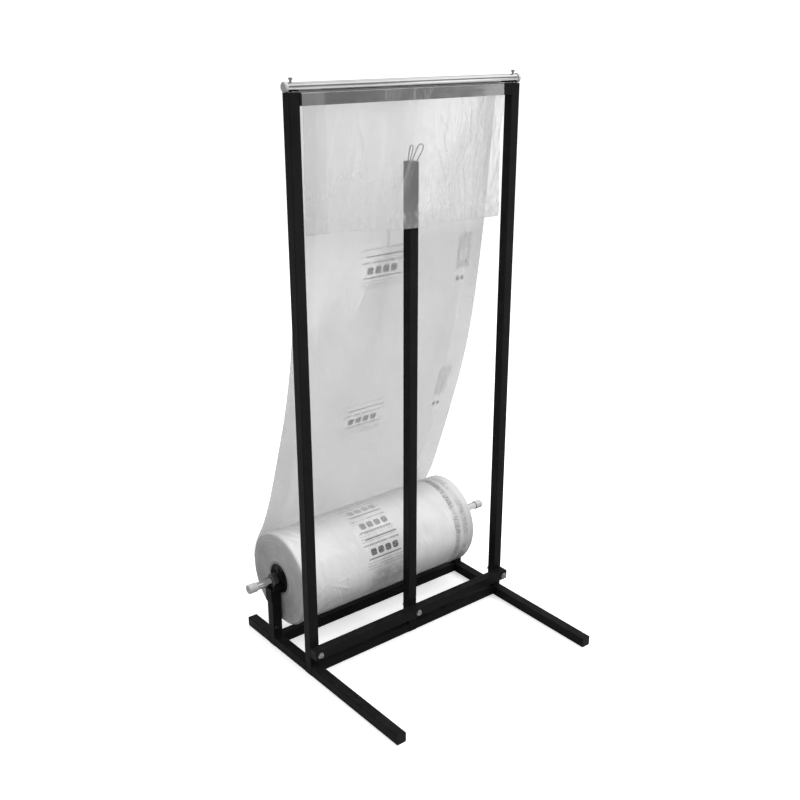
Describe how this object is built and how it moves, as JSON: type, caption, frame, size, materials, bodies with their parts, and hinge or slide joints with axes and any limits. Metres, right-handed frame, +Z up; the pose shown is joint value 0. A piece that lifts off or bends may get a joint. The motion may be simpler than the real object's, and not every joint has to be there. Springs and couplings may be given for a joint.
{
  "type": "film bag roll stand",
  "caption": "Floor-standing black tube frame that carries a roll of plastic film bags; the film runs up behind, over a top rail and under a lifting chrome bar, and hangs in front.",
  "frame": {"origin": "on the floor, at the middle of the frame's width, in the plane of the uprights' front faces (under the centre post's front edge)", "axes": "+X along the cross beam from left to right seen from the front, +Y towards the film roll at the back, +Z up"},
  "size_m": [0.7585, 0.63, 1.3769],
  "materials": {
    "black_paint": "satin black powder coat on square steel tube",
    "black_plastic": "moulded black nylon",
    "chrome": "bright chrome plate",
    "pale_cap": "satin pale grey moulding",
    "zinc_plate": "bright zinc plate",
    "black_oxide": "blackened steel",
    "bearing_steel": "ground steel with a pressed shield",
    "spring_wire": "drawn galvanised wire",
    "clear_film": "thin hazy polyethylene, glossy, creased",
    "wound_film": "tightly wound polyethylene film",
    "core_board": "spiral wound paperboard"
  },
  "bodies": {
    "frame": {"beam_bolts": "zinc_plate", "beam_end_plugs": "black_plastic", "beam_nuts": "zinc_plate", "beam_washers": "zinc_plate", "centre_post": "black_paint", "centre_post_plug": "black_plastic", "film_flap": "clear_film", "front_beam": "black_paint", "guide_bolts": "zinc_plate", "left_front_rail": "black_paint", "left_middle_rail": "black_paint", "left_rear_rail": "black_paint", "left_shaft_cradle": "black_paint", "left_stub_post": "black_paint", "left_upright": "black_paint", "left_wire_loop": "spring_wire", "lower_cross_tube_left": "black_paint", "lower_cross_tube_right": "black_paint", "rail_end_plugs": "black_plastic", "rear_cross_tube": "black_paint", "right_front_rail": "black_paint", "right_middle_rail": "black_paint", "right_rear_rail": "black_paint", "right_shaft_cradle": "black_paint", "right_stub_post": "black_paint", "right_upright": "black_paint", "right_wire_loop": "spring_wire", "stub_post_screws": "black_oxide", "top_cross_member": "black_paint", "upright_caps": "black_paint"},
    "tension_bar": {"tension_bar_tube": "chrome", "tension_bar_end_caps": "pale_cap"},
    "roll_carrier": {"bearing_outer_rings": "bearing_steel", "bearing_shields": "bearing_steel", "film_web": "clear_film"},
    "roll": {"roll_shaft": "chrome", "shaft_end_caps": "pale_cap", "bearing_inner_rings": "bearing_steel", "bearing_balls": "bearing_steel", "left_core_plug": "black_plastic", "right_core_plug": "black_plastic", "plug_set_screws": "zinc_plate", "core_tube": "core_board", "film_roll": "wound_film"}
  },
  "joints": [
    {"name": "bar_lift", "type": "slide", "parent": "frame", "child": "tension_bar", "axis": [0, 0, 1], "range_m": [0, 0.0045]},
    {"name": "shaft_lift", "type": "slide", "parent": "frame", "child": "roll_carrier", "axis": [0, 0, 1], "range_m": [0, 0.025]},
    {"name": "roll_spin", "type": "hinge", "parent": "roll_carrier", "child": "roll", "pos_m": [0, 0.176, 0.18105], "axis": [1, 0, 0], "continuous": true}
  ]
}
